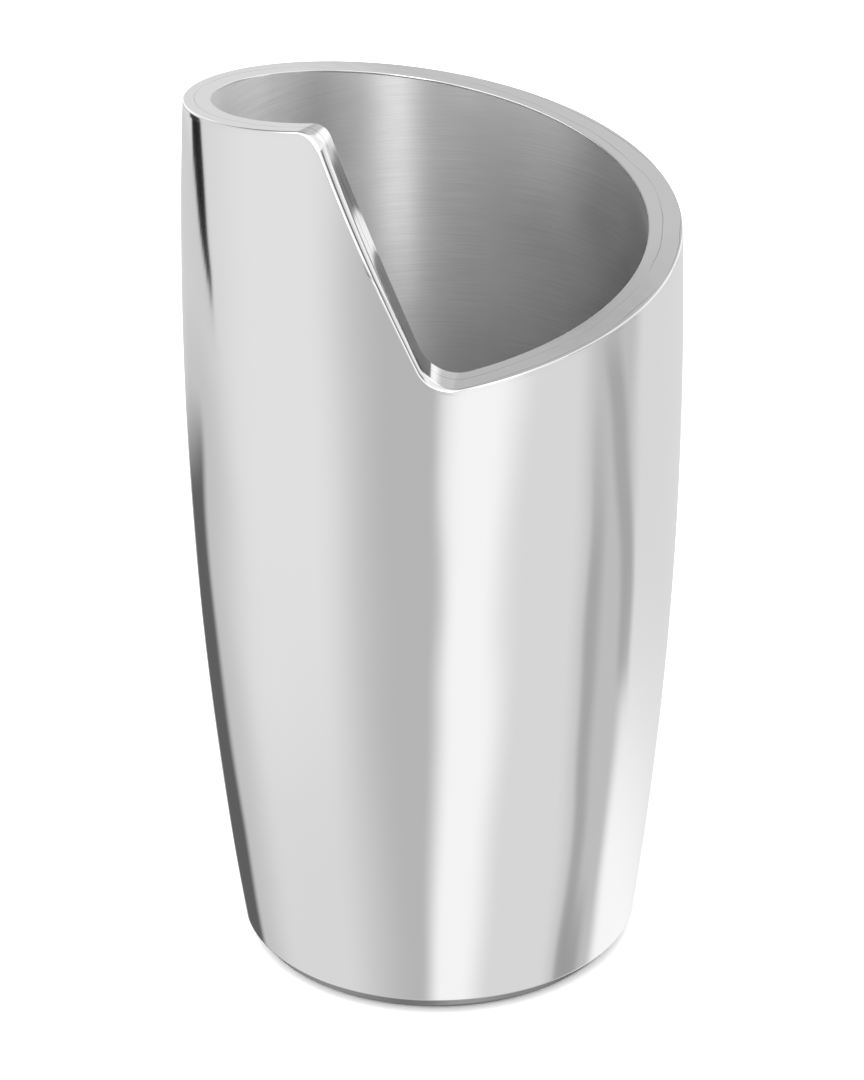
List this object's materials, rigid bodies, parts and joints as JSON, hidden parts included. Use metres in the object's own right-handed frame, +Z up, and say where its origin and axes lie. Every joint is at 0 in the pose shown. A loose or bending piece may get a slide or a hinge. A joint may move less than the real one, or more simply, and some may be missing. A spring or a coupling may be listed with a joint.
{
  "type": "champagne cooler",
  "caption": "Free-standing double-walled steel cooler for a champagne bottle: mirror-polished barrel outside, straight brushed bore, and a rim that spirals up and drops down a steep notch.",
  "frame": {"origin": "centre of the cooler's base, on the surface it stands on", "axes": "+Z up along the axis of the walls; the notch's valley faces -Y, and the notch's peak stands to its -X side"},
  "size_m": [0.125, 0.125, 0.2441],
  "materials": {
    "polished_steel": "mirror-polished stainless steel",
    "rim_steel": "polished stainless steel, edges broken by hand",
    "liner_steel": "stainless steel brushed round the bore",
    "base_steel": "stainless steel, polished step and satin underside",
    "plug_rubber": "matt grey silicone",
    "ring_rubber": "matt black rubber",
    "adhesive": "translucent acrylic film"
  },
  "bodies": {
    "root": {"outer_shell": "polished_steel", "rim_band": "rim_steel", "liner_wall": "liner_steel", "liner_floor": "liner_steel", "base_plate": "base_steel", "vent_plug": "plug_rubber", "non_slip_ring": "ring_rubber", "ring_adhesive": "adhesive"}
  },
  "joints": []
}
